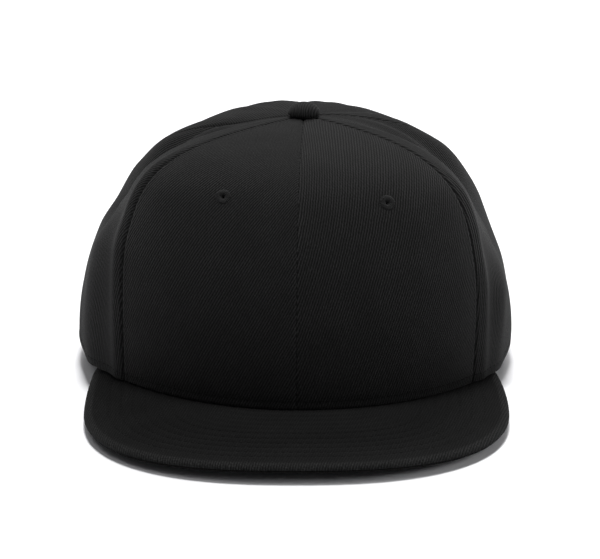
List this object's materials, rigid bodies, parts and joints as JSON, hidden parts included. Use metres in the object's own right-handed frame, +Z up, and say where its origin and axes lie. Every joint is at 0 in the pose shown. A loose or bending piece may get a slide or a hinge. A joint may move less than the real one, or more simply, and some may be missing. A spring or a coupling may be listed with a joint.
{
  "type": "snapback cap",
  "caption": "Structured panelled cap with a high crown, a flat stiff peak, stitched eyelets, a cloth-covered button and a plastic snap strap across the arched opening at the back.",
  "frame": {"origin": "middle of the footprint, on the surface that the cap rests on", "axes": "+Z up, the peak points to -Y, +X is on the right of a viewer who faces the peak"},
  "size_m": [0.1926, 0.2576, 0.119],
  "materials": {
    "crown_twill": "matte",
    "eyelet_thread": "satin",
    "button_twill": "matte",
    "peak_twill": "matte",
    "underside_twill": "matte",
    "sweatband_tape": "matte",
    "strap_plastic": "satin"
  },
  "bodies": {
    "root": {"front_panel_left": "crown_twill", "front_panel_right": "crown_twill", "side_panel_left": "crown_twill", "side_panel_right": "crown_twill", "back_panel_left": "crown_twill", "back_panel_right": "crown_twill", "front_eyelet_left": "eyelet_thread", "front_eyelet_right": "eyelet_thread", "side_eyelet_left": "eyelet_thread", "side_eyelet_right": "eyelet_thread", "back_eyelet_left": "eyelet_thread", "back_eyelet_right": "eyelet_thread", "crown_button": "button_twill", "peak_top": "peak_twill", "peak_underside": "underside_twill", "sweatband": "sweatband_tape", "snap_strap": "strap_plastic"}
  },
  "joints": []
}
